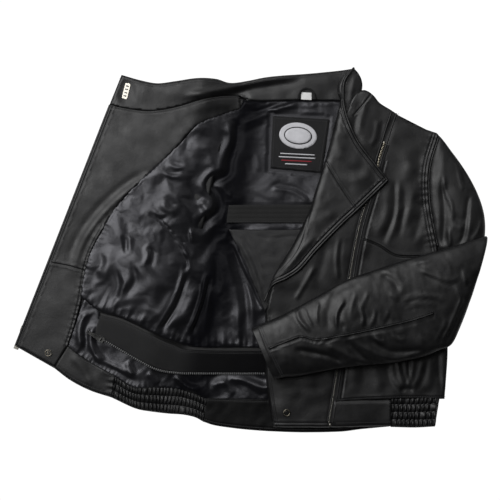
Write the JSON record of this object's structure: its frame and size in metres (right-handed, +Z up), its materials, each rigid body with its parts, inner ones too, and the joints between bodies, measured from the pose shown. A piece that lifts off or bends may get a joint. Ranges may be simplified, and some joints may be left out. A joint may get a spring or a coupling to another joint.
{
  "type": "leather welding jacket",
  "caption": "Lined black leather jacket laid open on its back, right front swung aside, left sleeve bent across, slanted front zip, turned-out lapel and ruched hem.",
  "frame": {"origin": "on the centre-back line at mid height of the back panel, on the plane the back rests on", "axes": "+X towards the wearer's left, which is the long way of the laid-out jacket; +Y from hem to collar; +Z up from the resting plane, through the thin way"},
  "size_m": [0.8989, 0.7001, 0.0747],
  "materials": {
    "black_leather": "soft nappa, low sheen",
    "ruched_leather": "soft nappa gathered on elastic",
    "black_satin": "satin lining, crumpled",
    "black_webbing": "woven, matte",
    "black_plastic": "moulded teeth",
    "pale_thread": "woven label thread",
    "white_cotton": "woven tag",
    "nickel": "satin nickel",
    "old_brass": "aged"
  },
  "bodies": {
    "back": {"back_shell": "black_leather", "back_lining": "black_satin", "protector_pocket": "black_satin", "pocket_closure_strip": "black_webbing", "neck_label": "black_webbing", "label_emblem": "pale_thread", "label_bars": "pale_thread", "collar_back": "black_leather", "under_collar": "black_leather", "size_tag": "white_cotton", "waist_zip_tape_back": "black_webbing", "waist_zip_teeth_back": "black_plastic", "skirt_lining_back": "black_satin", "back_hem_band": "black_leather", "right_elastic_back": "ruched_leather", "left_front_shell": "black_leather", "left_front_lining": "black_satin", "left_yoke_welt": "black_leather", "left_zip_tape": "black_webbing", "left_zip_teeth": "nickel", "left_zip_ends": "nickel", "left_hem_band": "black_leather", "left_hem_elastic": "ruched_leather", "press_stud": "old_brass", "left_upper_sleeve": "black_leather", "right_upper_sleeve": "black_leather"},
    "right_front": {"right_front_shell": "black_leather", "right_front_lining": "black_satin", "right_facing": "black_leather", "collar_right": "black_leather", "collar_badge": "nickel", "right_hem_tab": "black_leather", "right_elastic_front": "ruched_leather", "skirt_lining_front": "black_satin", "right_edge_piping": "black_leather", "waist_zip_tape_front": "black_webbing", "waist_zip_teeth_front": "black_plastic", "main_zip_tape": "black_webbing", "main_zip_teeth": "nickel", "main_zip_box": "nickel", "press_socket": "old_brass", "press_cap": "old_brass"},
    "left_lapel": {"lapel": "black_leather", "collar_left": "black_leather", "lapel_piping": "black_leather"},
    "left_forearm": {"left_forearm": "black_leather", "left_cuff": "black_leather"},
    "right_forearm": {"right_forearm": "black_leather", "right_cuff": "black_leather"},
    "main_slider": {"main_zip_slider": "nickel"},
    "main_pull": {"main_zip_pull": "nickel"},
    "waist_slider": {"waist_zip_slider": "nickel"},
    "waist_pull": {"waist_zip_pull": "nickel"},
    "hanger_loop": {"hanger_loop": "black_webbing"}
  },
  "joints": [
    {"name": "right_front_swing", "type": "hinge", "parent": "back", "child": "right_front", "pos_m": [-0.18, 0.003, 0.012], "axis": [0.2078, 0.9782, 0], "range_deg": [0, 140]},
    {"name": "lapel_roll", "type": "hinge", "parent": "back", "child": "left_lapel", "pos_m": [0.007, 0.0875, 0.033], "axis": [0.355, 0.9349, 0], "range_deg": [-160, 0]},
    {"name": "left_elbow_swing", "type": "hinge", "parent": "back", "child": "left_forearm", "pos_m": [0.2945, -0.076, 0.036], "axis": [0, 0, 1], "range_deg": [0, 85]},
    {"name": "right_elbow_swing", "type": "hinge", "parent": "back", "child": "right_forearm", "pos_m": [-0.365, -0.057, 0.0085], "axis": [0, 0, -1], "range_deg": [0, 75]},
    {"name": "main_slider_travel", "type": "slide", "parent": "right_front", "child": "main_slider", "axis": [0.3651, 0.931, 0], "range_m": [0, 0.44]},
    {"name": "main_pull_swing", "type": "hinge", "parent": "main_slider", "child": "main_pull", "pos_m": [-0.52817, -0.1513, 0.0069], "axis": [0.931, -0.3651, 0], "range_deg": [0, 180]},
    {"name": "waist_slider_travel", "type": "slide", "parent": "right_front", "child": "waist_slider", "axis": [0.8633, -0.5047, 0], "range_m": [0, 0.085]},
    {"name": "waist_pull_swing", "type": "hinge", "parent": "waist_slider", "child": "waist_pull", "pos_m": [-0.3791, -0.16963, 0.0314], "axis": [0.5047, 0.8633, 0], "range_deg": [0, 180]},
    {"name": "hanger_loop_flip", "type": "hinge", "parent": "back", "child": "hanger_loop", "pos_m": [0.014, 0.29, 0.0138], "axis": [1, 0, 0], "range_deg": [0, 150]}
  ]
}
